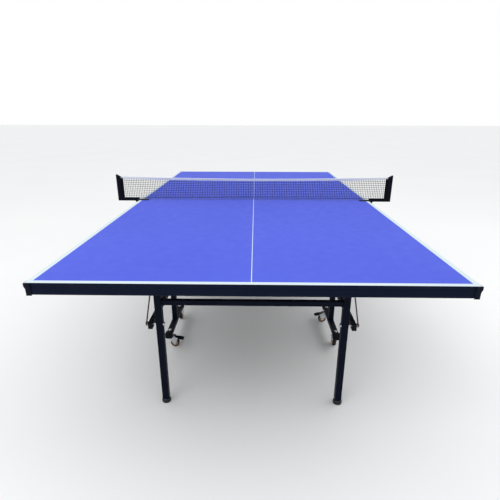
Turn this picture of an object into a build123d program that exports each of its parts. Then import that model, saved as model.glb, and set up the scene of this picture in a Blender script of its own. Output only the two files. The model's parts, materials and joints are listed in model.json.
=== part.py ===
from build123d import *
import os

# Full-size table tennis table on two roll-away halves, in millimetres.
# Origin on the floor below the middle of the net, +Y along the length, +Z up.
# Half "a" lies on the -Y side. Half "b" is the same half turned by 180 degrees about Z.

# --- playing surface ---
TABLE_LENGTH = 2740.0
TABLE_WIDTH = 1525.0
SURFACE_Z = 760.0
HALVES_GAP = 5.0
BOARD_T = 15.0
BOARD_CORNER_R = 2.0

# --- steel apron and rails under the board ---
APRON_W = 20.0
APRON_H = 30.0
JOIN_BAR_H = 7.0
SIDE_RAIL_X = 570.0
CENTRE_RAIL_X = 200.0
CENTRE_RAIL_W = 25.0
CENTRE_RAIL_H = 12.0
SIDE_INSET = 8.0
GUARD_ARM = 20.0
GUARD_PROUD = 4.0
GUARD_FLOOR = 2.0
GUARD_BEAD_DROP = 24.0
GUARD_CORNER_R = 8.0
GUARD_EDGE_R = 3.0

# --- square tube of the legs and the trolley ---
TUBE = 30.0
WALL = 1.5
TUBE_CORNER_R = 2.5
CROSS_DEPTH = 20.0

# --- fold geometry: equal and parallel top and link make the leg stay upright ---
PIVOT_DROP = 40.0
PIVOT_Z = SURFACE_Z - PIVOT_DROP
POST_Y = -440.0
LEG_Y = -1050.0
LINK_Z = 420.0

# --- places across the table, on the +X side ---
POST_X = 484.0
LEG_X = 408.0
LINK_X = 446.0
LINK_W = 20.0
LINK_H = 30.0
LINK_OVERHANG = 20.0

# --- trolley ---
RAIL_Z = 75.0
RAIL_FRONT_Y = -630.0
RAIL_BACK_Y = -250.0
TROLLEY_CROSS_Z = 325.0
TROLLEY_CROSS_H = 30.0
CAP_W = 42.0
CAP_LENGTH = 22.0
CAP_FACE_T = 3.0
CAP_DROP = 4.0
CAP_CORNER_R = 9.0
CAP_RIM_R = 5.0

# --- leg crossbar, feet and tie rod ---
LEG_CROSS_Z = 515.0
LEG_CROSS_H = 25.0
FOOT_H = 22.0
FOOT_R = 21.0
FOOT_STEM_R = 6.0
FOOT_STEM_H = 30.0
INSERT_H = 12.0
TIE_ROD_R = 3.0
TIE_ROD_TOP_Z = 640.0

# --- fasteners ---
PIN_R = 5.0
RUNNING_GAP = 0.05
OPEN_PIVOT_GAP = 0.3
FACE_GAP = 0.3
HEAD_AF = 17.0
HEAD_T = 6.0
NUT_T = 5.0
BUSH_R = 9.0

# --- hinge brackets and tilt lock ---
PLATE_T = 4.0
BRACKET_HALF_LENGTH = 30.0
BRACKET_EAR_R = 14.0
LOCK_PLATE_T = 5.0
LOCK_REACH = 45.0
LOCK_EAR_R = 12.0
LOCK_PIN_TRAVEL = 9.0
LUG_REACH = 52.0
LUG_LOW_Z = 56.0
LUG_CORNER_R = 3.0
KNOB_R = 9.0
KNOB_T = 14.0

# --- casters ---
CASTER_OUTER_Y = -592.0
CASTER_INNER_Y = -294.0
WHEEL_R = 25.0
WHEEL_W = 20.0
TREAD_T = 6.0
AXLE_R = 3.0
TRAIL = 26.0
STEM_R = 6.0
FORK_T = 2.5
FORK_GAP = 2.0
FORK_TOP_Z = 70.0
FORK_BACK = 15.0
FORK_FRONT = 28.0
SWIVEL_R = 19.0
RACE_R = 14.0
PEDAL_W = 24.0
PEDAL_REACH = 79.0
PEDAL_PIVOT_X = 41.0
PEDAL_PIVOT_Z = 56.0

# --- net ---
NET_OVERHANG = 152.5
NET_H = 151.0
NET_SAG = 13.0
NET_T = 3.0
NET_LIFT = 8.0
NET_POST_W = 30.0
NET_POST_D = 14.0
NET_POST_RISE = 12.0
NET_ARM_DROP = 11.0
BRACE_X = 800.0
JAW_REACH = 60.0
CLAMP_GAP = 2.0
JAW_DEPTH = 40.0
JAW_INSET = 5.0
JAW_T = 4.0
JAW_BACK_T = 8.0
LOWER_JAW_Z = 688.0
SCREW_R = 4.0
SCREW_X = 744.5
SCREW_PAD_R = 10.0
SCREW_PAD_T = 4.0
SCREW_KNOB_R = 15.0
SCREW_KNOB_T = 16.0

HALF_W = TABLE_WIDTH / 2
OUTER_Y = -TABLE_LENGTH / 2
JOIN_Y = -HALVES_GAP / 2
BOARD_Z = SURFACE_Z - BOARD_T
APRON_Z = BOARD_Z - APRON_H
RAIL_TOP_Z = RAIL_Z + TUBE
POST_IN_X = POST_X - TUBE / 2
POST_OUT_X = POST_X + TUBE / 2
LEG_IN_X = LEG_X - TUBE / 2
LEG_OUT_X = LEG_X + TUBE / 2
LINK_IN_X = LINK_X - LINK_W / 2
LINK_OUT_X = LINK_X + LINK_W / 2
TIE_EYE_X = LINK_OUT_X + FACE_GAP + NUT_T + 2
LOCK_OUT_X = POST_OUT_X + LOCK_PLATE_T
LOCK_BACK = TUBE / 2 + PIN_R + FACE_GAP
LOCK_PIN_PLACE = (LOCK_BACK, -LOCK_REACH)
EAR_OUT_X = LOCK_OUT_X + FACE_GAP + PLATE_T


def block(low, high):
    """Box between two opposite corners."""
    size = [b - a for a, b in zip(low, high)]
    middle = [(a + b) / 2 for a, b in zip(low, high)]
    return Pos(*middle) * Box(*size)


def rect_tube(low, high, axis):
    """Rectangular steel tube, open at both ends along the given axis (0, 1 or 2)."""
    direction = (Axis.X, Axis.Y, Axis.Z)[axis]
    outer = block(low, high)
    outer = fillet(outer.edges().filter_by(direction), TUBE_CORNER_R)
    inner_low = [a + WALL for a in low]
    inner_high = [b - WALL for b in high]
    inner_low[axis] = low[axis] - 1
    inner_high[axis] = high[axis] + 1
    return outer - block(inner_low, inner_high)


def rod_x(x0, x1, y, z, radius):
    """Round bar along X."""
    return Pos((x0 + x1) / 2, y, z) * Rot(0, 90, 0) * Cylinder(radius, abs(x1 - x0))


def rod_z(x, y, z0, z1, radius):
    """Round bar along Z."""
    return Pos(x, y, (z0 + z1) / 2) * Cylinder(radius, abs(z1 - z0))


def hex_x(x0, x1, y, z):
    """Hexagon head or nut along X, from x0 to the larger x1."""
    outline = RegularPolygon(HEAD_AF / 2, 6, major_radius=False)
    return Pos(x0, y, z) * Rot(0, 90, 0) * extrude(outline, amount=x1 - x0)


def plate_x(x0, x1, y, z, outline):
    """Flat plate across X. The outline's own x runs along Y and its y along Z, about (y, z)."""
    plane = Plane(origin=(x0, y, z), x_dir=(0, 1, 0), z_dir=(1, 0, 0))
    return extrude(plane * outline, amount=x1 - x0, dir=plane.z_dir)


def both_sides(pieces):
    """The given pieces of the +X side, and their mirror images on the -X side."""
    return pieces + [mirror(piece, about=Plane.YZ) for piece in pieces]


def ellipse_ring(points, radius):
    """Hull around circles of one radius at the given points."""
    edges = []
    for point in points:
        edges += (Pos(*point) * Circle(radius)).edges()
    return make_hull(edges)


def upright(x, y, z_bottom, z_pivot, bores):
    """Square tube standing up to a pivot, with a rounded top. Bores are (z, radius) along X."""
    half = TUBE / 2
    outer = block((x - half, y - half, z_bottom), (x + half, y + half, z_pivot))
    outer = fillet(outer.edges().filter_by(Axis.Z), TUBE_CORNER_R)
    round_top = rod_x(x - half, x + half, y, z_pivot, half)
    outer += fillet(round_top.edges().filter_by(GeomType.CIRCLE), TUBE_CORNER_R)
    inner = half - WALL
    hollow = block((x - inner, y - inner, z_bottom - 1), (x + inner, y + inner, z_pivot))
    hollow += rod_x(x - inner, x + inner, y, z_pivot, inner)
    tube = outer - hollow
    for z, radius in bores:
        tube -= rod_x(x - half - 1, x + half + 1, y, z, radius)
    return tube


# --- tilting top ---

def board():
    """Playing board of one half. The two outer corners are slightly rounded."""
    panel = block((-HALF_W, OUTER_Y, BOARD_Z), (HALF_W, JOIN_Y, SURFACE_Z))
    outer_corners = panel.edges().filter_by(Axis.Z).group_by(Axis.Y)[0]
    return [fillet(outer_corners, BOARD_CORNER_R)]


def apron():
    """Steel tubes along the three free edges, and a flat bar along the join."""
    outer_x = HALF_W - SIDE_INSET
    inner_x = outer_x - APRON_W
    side = rect_tube((inner_x, OUTER_Y + APRON_W, APRON_Z), (outer_x, JOIN_Y, BOARD_Z), 1)
    end = rect_tube((-outer_x, OUTER_Y, APRON_Z), (outer_x, OUTER_Y + APRON_W, BOARD_Z), 0)
    join_low = (-inner_x, JOIN_Y - APRON_W, BOARD_Z - JOIN_BAR_H)
    join = block(join_low, (inner_x, JOIN_Y, BOARD_Z))
    return both_sides([side]) + [end, join]


def guard_block(outer_x, outer_y, z0, z1):
    """Corner of a guard, rounded on every edge but the one inside the corner."""
    shape = block((HALF_W - GUARD_ARM, outer_y, z0), (outer_x, OUTER_Y + GUARD_ARM, z1))
    corner = shape.edges().filter_by(Axis.Z).sort_by(lambda e: e.center().X - e.center().Y)[-1]
    shape = fillet(corner, GUARD_CORNER_R)
    rims = shape.edges().group_by(Axis.Z)[0] + shape.edges().group_by(Axis.Z)[-1]
    return fillet(rims, GUARD_EDGE_R)


def corner_guards():
    """Plastic guards of the outer corners: a thick bead round the board over a thinner skirt."""
    apron_x, bead_z = HALF_W - SIDE_INSET, SURFACE_Z - GUARD_BEAD_DROP
    bead_x, bead_y = HALF_W + GUARD_PROUD, OUTER_Y - GUARD_PROUD
    guard = guard_block(bead_x, bead_y, bead_z, SURFACE_Z - 1)
    skirt_top = bead_z + GUARD_EDGE_R + 1
    skirt = guard_block(apron_x + GUARD_FLOOR, OUTER_Y - GUARD_FLOOR, APRON_Z - GUARD_FLOOR, skirt_top)
    guard += skirt
    inner_x, inner_y = HALF_W - 2 * GUARD_ARM, OUTER_Y + 2 * GUARD_ARM
    guard -= block((inner_x, OUTER_Y, BOARD_Z), (HALF_W, inner_y, SURFACE_Z))
    guard -= block((inner_x, OUTER_Y, APRON_Z), (apron_x, inner_y, BOARD_Z))
    return both_sides([guard])


def support_rails():
    """Stiffening tubes under the board, from the end tube to the bar at the join."""
    y0, y1 = OUTER_Y + APRON_W, JOIN_Y - APRON_W
    side_x0 = SIDE_RAIL_X - APRON_W / 2
    side = rect_tube((side_x0, y0, APRON_Z), (side_x0 + APRON_W, y1, BOARD_Z), 1)
    centre_x0 = CENTRE_RAIL_X - CENTRE_RAIL_W / 2
    low = (centre_x0, y0, BOARD_Z - CENTRE_RAIL_H)
    centre = rect_tube(low, (centre_x0 + CENTRE_RAIL_W, y1, BOARD_Z), 1)
    return both_sides([side, centre])


def bracket_ear():
    """Side of a hinge bracket, drawn about its pivot."""
    top = PIVOT_DROP - BOARD_T
    wedge = Polygon(
        (-BRACKET_HALF_LENGTH, top), (BRACKET_HALF_LENGTH, top),
        (BRACKET_EAR_R, 0), (-BRACKET_EAR_R, 0), align=None,
    )
    return wedge + Circle(BRACKET_EAR_R) - Circle(PIN_R)


def hinge_bracket(x_inner, x_outer, y, outer_ear):
    """U-shaped bracket screwed under the board. Its ears lie outside x_inner and x_outer."""
    x0, x1 = x_inner - PLATE_T, x_outer + PLATE_T
    low = (x0, y - BRACKET_HALF_LENGTH, BOARD_Z - PLATE_T)
    high = (x1, y + BRACKET_HALF_LENGTH, BOARD_Z)
    bracket = block(low, high)
    bracket += plate_x(x0, x_inner, y, PIVOT_Z, bracket_ear())
    bracket += plate_x(x_outer, x1, y, PIVOT_Z, outer_ear)
    return bracket


def hinge_brackets():
    """Brackets on the posts, each with the sleeve of its lock pin, and on the legs."""
    lobe = ellipse_ring([(0, 0), LOCK_PIN_PLACE], LOCK_EAR_R) - Circle(PIN_R)
    hole = PIN_R + RUNNING_GAP
    lock_ear = bracket_ear() + lobe - Pos(*LOCK_PIN_PLACE) * Circle(hole)
    post_outer = LOCK_OUT_X + FACE_GAP
    on_post = hinge_bracket(POST_IN_X - FACE_GAP, post_outer, POST_Y, lock_ear)
    sleeve = Pos(*LOCK_PIN_PLACE) * (Circle(BUSH_R) - Circle(hole))
    sleeve_end = EAR_OUT_X + 2 * HEAD_T
    on_post += plate_x(EAR_OUT_X, sleeve_end, POST_Y, PIVOT_Z, sleeve)
    on_leg = hinge_bracket(LEG_IN_X - FACE_GAP, LEG_OUT_X + FACE_GAP, LEG_Y, bracket_ear())
    return both_sides([on_post, on_leg])


def hinge_bolts():
    """Bolts through the brackets, which the posts and the legs turn on."""
    pieces = []
    spans = [
        (POST_IN_X - FACE_GAP - PLATE_T, EAR_OUT_X, POST_Y),
        (LEG_IN_X - FACE_GAP - PLATE_T, LEG_OUT_X + FACE_GAP + PLATE_T, LEG_Y),
    ]
    for x0, x1, y in spans:
        bolt = rod_x(x0 - NUT_T, x1 + HEAD_T, y, PIVOT_Z, PIN_R)
        bolt += hex_x(x0 - NUT_T, x0, y, PIVOT_Z) + hex_x(x1, x1 + HEAD_T, y, PIVOT_Z)
        pieces.append(bolt)
    return both_sides(pieces)


def lock_pin():
    """Pull pin of the tilt lock on the +X side, drawn out past the stop lug."""
    tip_x = LOCK_OUT_X + FACE_GAP + 0.5
    knob_x = EAR_OUT_X + 2 * HEAD_T + LOCK_PIN_TRAVEL + 1
    y, z = POST_Y + LOCK_BACK, PIVOT_Z - LOCK_REACH
    knob = rod_x(knob_x, knob_x + KNOB_T, y, z, KNOB_R)
    knob = fillet(knob.edges(), KNOB_R / 3)
    return knob + rod_x(tip_x, knob_x + 2, y, z, PIN_R)


# --- legs ---

def leg_frame():
    """Two legs with threaded inserts for the feet, and the crossbar between them."""
    bores = [(PIVOT_Z, PIN_R + RUNNING_GAP), (LINK_Z, PIN_R)]
    leg = upright(LEG_X, LEG_Y, FOOT_H, PIVOT_Z, bores)
    half = CROSS_DEPTH / 2
    low = (-LEG_IN_X, LEG_Y - half, LEG_CROSS_Z)
    crossbar = rect_tube(low, (LEG_IN_X, LEG_Y + half, LEG_CROSS_Z + LEG_CROSS_H), 0)
    inner = TUBE / 2 - WALL
    insert_low = (LEG_X - inner, LEG_Y - inner, FOOT_H)
    insert = block(insert_low, (LEG_X + inner, LEG_Y + inner, FOOT_H + INSERT_H))
    insert -= rod_z(LEG_X, LEG_Y, FOOT_H - 1, FOOT_H + INSERT_H + 1, FOOT_STEM_R + RUNNING_GAP)
    return both_sides([leg, insert]) + [crossbar]


def leg_pins():
    """Bolt with a spacer through each leg, on which the link's front end hangs."""
    nut_x = LINK_OUT_X + FACE_GAP
    end_x = TIE_EYE_X + 2 * TIE_ROD_R + 3
    pin = rod_x(LEG_IN_X - HEAD_T, end_x, LEG_Y, LINK_Z, PIN_R)
    pin += hex_x(LEG_IN_X - HEAD_T, LEG_IN_X, LEG_Y, LINK_Z)
    pin += hex_x(nut_x, nut_x + NUT_T, LEG_Y, LINK_Z)
    pin += rod_x(LEG_OUT_X, LINK_IN_X - FACE_GAP, LEG_Y, LINK_Z, BUSH_R)
    return both_sides([pin])


def tie_rods():
    """Slanted rod from the end of each leg pin up to the leg's outer face."""
    eye_x, eye_w = TIE_EYE_X, 2 * TIE_ROD_R
    eye = rod_x(eye_x, eye_x + eye_w, LEG_Y, LINK_Z, BUSH_R)
    bottom = Vector(eye_x + eye_w / 2, LEG_Y, LINK_Z + PIN_R + TIE_ROD_R)
    top = Vector(LEG_OUT_X + TIE_ROD_R, LEG_Y, TIE_ROD_TOP_Z)
    along = top - bottom
    start = Plane(origin=bottom, z_dir=along)
    rod = extrude(start * Circle(TIE_ROD_R), amount=along.length)
    tab = block(
        (LEG_OUT_X, LEG_Y - BUSH_R, TIE_ROD_TOP_Z - BUSH_R),
        (LEG_OUT_X + 2 * TIE_ROD_R, LEG_Y + BUSH_R, TIE_ROD_TOP_Z + BUSH_R),
    )
    eye_bore = rod_x(eye_x - 1, eye_x + eye_w + 1, LEG_Y, LINK_Z, PIN_R)
    return both_sides([eye + rod + tab - eye_bore])


def foot():
    """Levelling foot of the +X leg, with the screw that goes up into the leg."""
    pad = rod_z(LEG_X, LEG_Y, 0, FOOT_H - FACE_GAP, FOOT_R)
    rims = pad.edges().filter_by(GeomType.CIRCLE).sort_by(Axis.Z)
    pad = fillet(rims[-1], FOOT_H * 0.6)
    pad = fillet(pad.edges().filter_by(GeomType.CIRCLE).sort_by(Axis.Z)[0], 2)
    return pad + rod_z(LEG_X, LEG_Y, FOOT_H / 2, FOOT_H + FOOT_STEM_H, FOOT_STEM_R)


# --- links ---

def link_ends():
    """The Y of a link's two open ends."""
    return LEG_Y - LINK_OVERHANG, POST_Y + LINK_OVERHANG


def link_tubes():
    """Links that swing in step with the top, and keep the legs upright."""
    y0, y1 = link_ends()
    half_h = LINK_H / 2
    low = (LINK_IN_X, y0, LINK_Z - half_h)
    tube = rect_tube(low, (LINK_OUT_X, y1, LINK_Z + half_h), 1)
    for y, gap in ((LEG_Y, OPEN_PIVOT_GAP), (POST_Y, RUNNING_GAP)):
        tube -= rod_x(LINK_IN_X - 1, LINK_OUT_X + 1, y, LINK_Z, PIN_R + gap)
    return both_sides([tube])


def link_caps():
    """Plastic plugs in the ends of the links."""
    y0, y1 = link_ends()
    half_h = LINK_H / 2
    plug_depth = LINK_OVERHANG / 2
    pieces = []
    for y, outward in ((y0, -1), (y1, 1)):
        face = sorted((y, y + outward * CAP_FACE_T))
        inside = sorted((y, y - outward * plug_depth))
        low = (LINK_IN_X, face[0], LINK_Z - half_h)
        cap = block(low, (LINK_OUT_X, face[1], LINK_Z + half_h))
        inner_low = (LINK_IN_X + WALL, inside[0], LINK_Z - half_h + WALL)
        inner_high = (LINK_OUT_X - WALL, inside[1], LINK_Z + half_h - WALL)
        pieces.append(cap + block(inner_low, inner_high))
    return both_sides(pieces)


# --- trolley ---

def stop_lug():
    """Lug on the post. A pushed-in pin is held behind it, or above its front end when folded."""
    back, top = TUBE / 2, -LOCK_BACK - PIN_R - FACE_GAP
    outline = Polygon(
        (-back, -LUG_LOW_Z), (back, -LUG_LOW_Z), (back, top), (-LUG_REACH, top),
        (-LUG_REACH, top - TUBE / 2), align=None,
    )
    outline = fillet(outline.vertices(), LUG_CORNER_R)
    return plate_x(POST_OUT_X, LOCK_OUT_X, POST_Y, PIVOT_Z, outline)


def trolley_frame():
    """Two posts on foot rails, the crossbar between them, and the spacer and lug of each lock."""
    bores = [(PIVOT_Z, PIN_R + RUNNING_GAP), (LINK_Z, PIN_R)]
    post = upright(POST_X, POST_Y, RAIL_TOP_Z, PIVOT_Z, bores)
    rail_low = (POST_IN_X, RAIL_FRONT_Y, RAIL_Z)
    rail = rect_tube(rail_low, (POST_OUT_X, RAIL_BACK_Y, RAIL_TOP_Z), 1)
    for y in (CASTER_OUTER_Y, CASTER_INNER_Y):
        rail -= rod_z(POST_X, y, RAIL_Z - 1, RAIL_Z + TUBE / 2, STEM_R + RUNNING_GAP)
    half = CROSS_DEPTH / 2
    cross_low = (-POST_IN_X, POST_Y - half, TROLLEY_CROSS_Z)
    cross_high = (POST_IN_X, POST_Y + half, TROLLEY_CROSS_Z + TROLLEY_CROSS_H)
    crossbar = rect_tube(cross_low, cross_high, 0)
    spacer = plate_x(
        POST_OUT_X, LOCK_OUT_X, POST_Y, PIVOT_Z, Circle(LOCK_EAR_R) - Circle(PIN_R + RUNNING_GAP),
    )
    return both_sides([post, rail, spacer, stop_lug()]) + [crossbar]


def rail_caps():
    """Plastic sleeves over the ends of the foot rails."""
    half, reach = CAP_W / 2, TUBE / 2
    bottom, top = RAIL_Z - CAP_DROP, RAIL_TOP_Z + CAP_W / 2 - reach
    pieces = []
    for y, outward in ((RAIL_FRONT_Y, -1), (RAIL_BACK_Y, 1)):
        span = sorted((y + outward * CAP_FACE_T, y - outward * (CAP_LENGTH - CAP_FACE_T)))
        sleeve = block((POST_X - half, span[0], bottom), (POST_X + half, span[1], top))
        sleeve = fillet(sleeve.edges().filter_by(Axis.Y), CAP_CORNER_R)
        rims = sleeve.edges().group_by(Axis.Y)
        sleeve = fillet(rims[-1] if outward > 0 else rims[0], CAP_RIM_R)
        bore = sorted((y, y - outward * CAP_LENGTH))
        bore_low = (POST_X - reach, bore[0], RAIL_Z)
        pieces.append(sleeve - block(bore_low, (POST_X + reach, bore[1], RAIL_TOP_Z)))
    return both_sides(pieces)


def trolley_bolts():
    """Bolts with spacers that carry the links, and the domed nuts over the caster stems."""
    head_x = LINK_IN_X - FACE_GAP - HEAD_T
    bolt = rod_x(head_x, POST_OUT_X + NUT_T, POST_Y, LINK_Z, PIN_R)
    bolt += hex_x(head_x, head_x + HEAD_T, POST_Y, LINK_Z)
    bolt += hex_x(POST_OUT_X, POST_OUT_X + NUT_T, POST_Y, LINK_Z)
    bolt += rod_x(LINK_OUT_X + FACE_GAP, POST_IN_X, POST_Y, LINK_Z, BUSH_R)
    pieces = [bolt]
    for y in (CASTER_OUTER_Y, CASTER_INNER_Y):
        nut = rod_z(POST_X, y, RAIL_TOP_Z, RAIL_TOP_Z + HEAD_T, BUSH_R)
        pieces.append(fillet(nut.edges().group_by(Axis.Z)[-1], 3))
    return both_sides(pieces)


# --- casters, drawn about the stem at x = y = 0 with the wheel trailing towards +X ---

def fork_side():
    """Side of the fork in X and Z, from the swivel head down to the axle."""
    outline = Polygon(
        (-FORK_BACK, FORK_TOP_Z), (FORK_FRONT, FORK_TOP_Z), (TRAIL + 14, 46), (TRAIL + 8, WHEEL_R),
        (TRAIL - 8, WHEEL_R), (-FORK_BACK / 2, 56), align=None,
    )
    outline += Pos(TRAIL, WHEEL_R) * Circle(8)
    arm = [(12, 62), (PEDAL_PIVOT_X, PEDAL_PIVOT_Z)]
    return outline + ellipse_ring(arm, 5)


def xz_plate(y0, y1, outline):
    """Flat plate across Y. The outline's own x runs along X and its y along Z."""
    plane = Plane(origin=(0, y1, 0), x_dir=(1, 0, 0), z_dir=(0, -1, 0))
    return extrude(plane * outline, amount=y1 - y0, dir=plane.z_dir)


def caster_fork():
    """Swivel head, stem, two fork sides, axle and the pin of the brake pedal."""
    gap = WHEEL_W / 2 + FORK_GAP
    outer = gap + FORK_T
    top = FORK_TOP_Z
    body = rod_z(0, 0, RAIL_Z - FACE_GAP, RAIL_TOP_Z - 2 * WALL - 2, STEM_R)
    body += rod_z(0, 0, top, RAIL_Z - FACE_GAP, RACE_R)
    body += rod_z(0, 0, top - FORK_T, top, SWIVEL_R)
    body += block((-FORK_BACK, -outer, top - FORK_T), (FORK_FRONT, outer, top))
    for y0 in (-outer, gap):
        body += xz_plate(y0, y0 + FORK_T, fork_side())
    for x, z, extra in ((TRAIL, WHEEL_R, 3), (PEDAL_PIVOT_X, PEDAL_PIVOT_Z, 1)):
        reach = outer + extra
        body += Pos(x, 0, z) * Rot(90, 0, 0) * Cylinder(AXLE_R, 2 * reach)
        for side in (-1, 1):
            head = Cylinder(AXLE_R + 2, extra)
            body += Pos(x, side * (outer + extra / 2), z) * Rot(90, 0, 0) * head
    return body


def caster_wheel():
    """Hub with a bore, and the tyre round it, as two solids."""
    tyre_r = WHEEL_R - TREAD_T
    tyre = Cylinder(WHEEL_R, WHEEL_W)
    tyre = fillet(tyre.edges(), 4) - Cylinder(tyre_r, WHEEL_W + 2)
    hub = Cylinder(tyre_r, WHEEL_W - 2) - Cylinder(AXLE_R + RUNNING_GAP, WHEEL_W)
    for side in (-1, 1):
        dish = Cylinder(tyre_r - 3, 4) - Cylinder(AXLE_R + 4, 6)
        hub -= Pos(0, 0, side * (WHEEL_W / 2 - 1)) * dish
    place = Pos(TRAIL, 0, WHEEL_R) * Rot(90, 0, 0)
    return [place * tyre, place * hub]


def brake_pedal():
    """Foot pedal that rocks on its pin over the wheel."""
    outline = Polygon(
        (31, 54), (41, 51), (PEDAL_REACH - 3, 47), (PEDAL_REACH, 50), (PEDAL_REACH - 4, 56),
        (48, 62), (36, 62), align=None,
    )
    pedal = xz_plate(-PEDAL_W / 2, PEDAL_W / 2, outline)
    groove = Pos(PEDAL_PIVOT_X, 0, PEDAL_PIVOT_Z) * Rot(90, 0, 0)
    pedal -= groove * Cylinder(AXLE_R + RUNNING_GAP, PEDAL_W + 2)
    return [pedal]


# name, side of the table, stem Y, trail direction in degrees from +X, and whether it has a brake
CASTERS = [
    ("outer_left", -1, CASTER_OUTER_Y, 0, True),
    ("outer_right", 1, CASTER_OUTER_Y, 90, False),
    ("inner_left", -1, CASTER_INNER_Y, 90, False),
    ("inner_right", 1, CASTER_INNER_Y, 180, True),
]


def caster_nodes():
    """All caster nodes of one half, turned the way they happen to trail."""
    nodes = {}
    for name, side, y, trail_angle, braked in CASTERS:
        place = Pos(side * POST_X, y, 0) * Rot(0, 0, trail_angle)
        nodes["caster_fork_" + name] = [place * caster_fork()]
        nodes["caster_wheel_" + name] = [place * piece for piece in caster_wheel()]
        if braked:
            nodes["brake_pedal_" + name] = [place * piece for piece in brake_pedal()]
    return nodes


# --- net set ---

NET_POST_X = HALF_W + NET_OVERHANG
NET_END_X = NET_POST_X - NET_POST_W
NET_ARM_Z = SURFACE_Z - NET_ARM_DROP
NET_LOW_Z = SURFACE_Z + NET_LIFT
NET_TOP_Z = SURFACE_Z + NET_H


def net():
    """Plain panel in place of the knotted mesh and its tape, with the sag of the top edge."""
    left, right = (-NET_END_X, NET_TOP_Z), (NET_END_X, NET_TOP_Z)
    sag = ThreePointArc(right, (0, NET_TOP_Z - NET_SAG), left)
    sides = Polyline(left, (-NET_END_X, NET_LOW_Z), (NET_END_X, NET_LOW_Z), right)
    return [xz_plate(-NET_T / 2, NET_T / 2, make_face(sag + sides))]


def net_brackets():
    """Net post, arm and C-shaped clamp of each side, on the edge of half a."""
    back_x = HALF_W + CLAMP_GAP
    arm_x = back_x + JAW_BACK_T
    half_d = NET_POST_D / 2
    jaw_y0, jaw_y1 = -JAW_INSET - JAW_DEPTH, -JAW_INSET
    post_outline = Polygon(
        (NET_END_X, NET_ARM_Z), (NET_POST_X, NET_ARM_Z), (NET_POST_X, NET_TOP_Z + NET_POST_RISE),
        (NET_POST_X - NET_POST_RISE / 2, NET_TOP_Z + NET_POST_RISE), (NET_END_X, NET_TOP_Z - 2),
        align=None,
    )
    bracket = xz_plate(-half_d, half_d, post_outline)
    bracket += block((arm_x, -half_d, NET_ARM_Z), (NET_END_X, half_d, NET_LOW_Z))
    brace = Polygon(
        (arm_x, LOWER_JAW_Z + HEAD_T), (BRACE_X, NET_ARM_Z), (arm_x, NET_ARM_Z), align=None,
    )
    bracket += xz_plate(-half_d, half_d, brace)
    bracket += block((back_x, jaw_y0, LOWER_JAW_Z), (arm_x, half_d, SURFACE_Z))
    upper_low = (HALF_W - JAW_REACH, jaw_y0, SURFACE_Z)
    bracket += block(upper_low, (arm_x, jaw_y1, SURFACE_Z + JAW_T))
    lower_low = (SCREW_X - 2 * SCREW_PAD_R, jaw_y0, LOWER_JAW_Z)
    bracket += block(lower_low, (arm_x, jaw_y1, LOWER_JAW_Z + HEAD_T))
    screw_y = (jaw_y0 + jaw_y1) / 2
    hole = SCREW_R + RUNNING_GAP
    bracket -= rod_z(SCREW_X, screw_y, LOWER_JAW_Z - 1, LOWER_JAW_Z + HEAD_T + 1, hole)
    return both_sides([bracket])


def clamp_screw():
    """Clamp screw of the +X side, with the pad under the apron and the knob below."""
    y = -JAW_INSET - JAW_DEPTH / 2
    knob_top = LOWER_JAW_Z - HEAD_T
    screw = rod_z(SCREW_X, y, APRON_Z - SCREW_PAD_T, APRON_Z, SCREW_PAD_R)
    screw += rod_z(SCREW_X, y, knob_top - SCREW_KNOB_T / 2, APRON_Z - 1, SCREW_R)
    knob = rod_z(SCREW_X, y, knob_top - SCREW_KNOB_T, knob_top, SCREW_KNOB_R)
    return screw + fillet(knob.edges(), 3)


# --- every node, and where it goes ---

def left_and_right(name, piece):
    """Two nodes from one piece of the +X side."""
    return {name + "_left": [mirror(piece, about=Plane.YZ)], name + "_right": [piece]}


def half_nodes():
    """Every node of one half of the table, on the -Y side."""
    nodes = {
        "board": board(), "apron": apron(), "corner_guards": corner_guards(),
        "support_rails": support_rails(), "hinge_brackets": hinge_brackets(),
        "hinge_bolts": hinge_bolts(), "leg_frame": leg_frame(), "leg_pins": leg_pins(),
        "tie_rods": tie_rods(), "link_tubes": link_tubes(), "link_caps": link_caps(),
        "trolley_frame": trolley_frame(), "rail_caps": rail_caps(),
        "trolley_bolts": trolley_bolts(),
    }
    nodes.update(left_and_right("lock_pin", lock_pin()))
    nodes.update(left_and_right("levelling_foot", foot()))
    nodes.update(caster_nodes())
    return nodes


def write_node(name, pieces):
    """Write one node as a STEP file of separate solids."""
    solids = [solid for piece in pieces for solid in piece.solids()]
    shape = solids[0] if len(solids) == 1 else Compound(children=solids)
    export_step(shape, os.path.join("parts", name + ".step"))


os.makedirs("parts", exist_ok=True)
for half_name, turn in (("a", 0), ("b", 180)):
    for node_name, node_pieces in half_nodes().items():
        turned = [Rot(0, 0, turn) * piece for piece in node_pieces]
        write_node(node_name + "_" + half_name, turned)
write_node("net", net())
write_node("net_brackets", net_brackets())
for node_name, node_pieces in left_and_right("clamp_screw", clamp_screw()).items():
    write_node(node_name, node_pieces)
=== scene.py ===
import json
import math
import random

import bmesh
import bpy
from mathutils import Matrix, Vector


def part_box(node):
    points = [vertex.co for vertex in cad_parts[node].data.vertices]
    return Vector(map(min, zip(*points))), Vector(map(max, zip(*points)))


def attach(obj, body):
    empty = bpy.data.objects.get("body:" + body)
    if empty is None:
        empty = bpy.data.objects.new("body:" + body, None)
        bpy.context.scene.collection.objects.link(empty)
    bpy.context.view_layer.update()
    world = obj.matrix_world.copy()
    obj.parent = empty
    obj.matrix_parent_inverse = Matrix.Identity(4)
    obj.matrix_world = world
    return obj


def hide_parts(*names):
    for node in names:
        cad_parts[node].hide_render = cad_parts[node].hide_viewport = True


# Looks of a full-size table tennis table. Everything is in metres, in the frame of the CAD model:
# origin on the floor below the middle of the net, +Y along the length, +Z up.
# Half "a" lies on the -Y side, and half "b" is the same half turned by 180 degrees about Z.

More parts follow.
